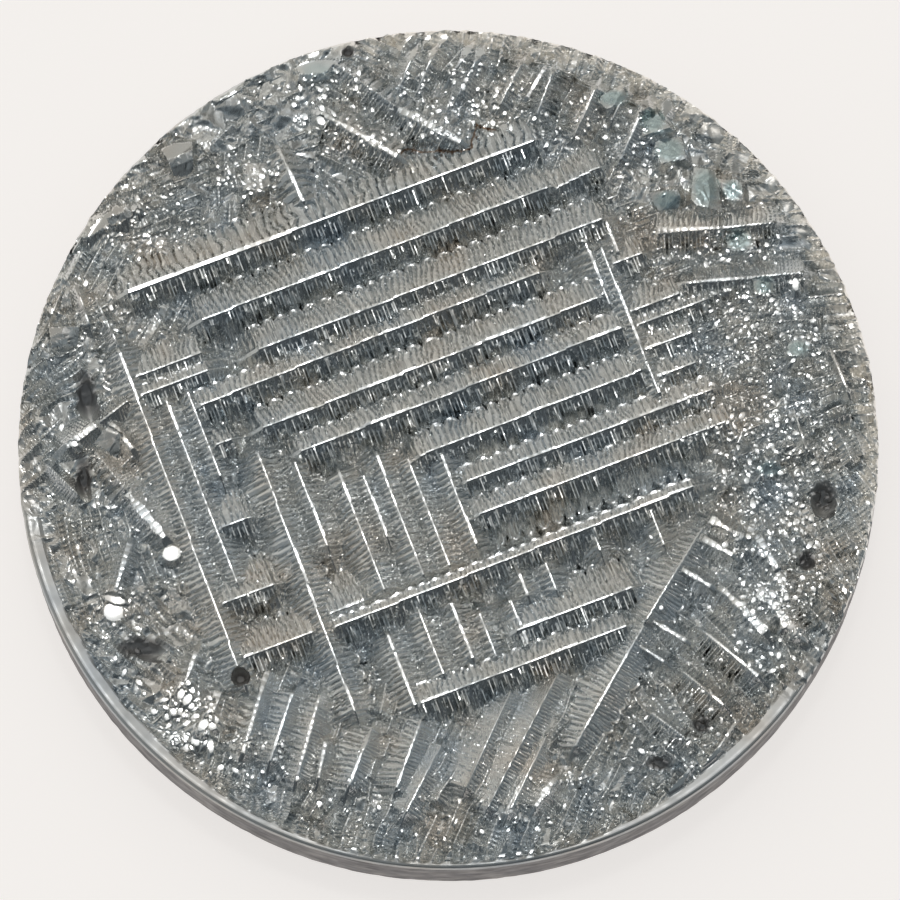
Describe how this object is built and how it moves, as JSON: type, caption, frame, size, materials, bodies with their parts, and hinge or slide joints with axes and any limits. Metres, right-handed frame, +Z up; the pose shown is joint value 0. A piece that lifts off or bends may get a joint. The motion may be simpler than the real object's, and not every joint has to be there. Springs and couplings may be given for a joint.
{
  "type": "cast tellurium disc",
  "caption": "Round cast disc of silvery tellurium metal with a flat underside and a crystal face of long roof-shaped dendrite ridges.",
  "frame": {"origin": "centre of the flat underside, under the middle of the disc's bounding box", "axes": "+Z up through the disc's thickness, out of the crystal face; +X to the right and +Y away in the picture's view"},
  "size_m": [0.035, 0.035, 0.004],
  "materials": {
    "tellurium": "bright crystalline metal, satin to mirror on its facets"
  },
  "bodies": {
    "root": {"tellurium_disc": "tellurium"}
  },
  "joints": []
}
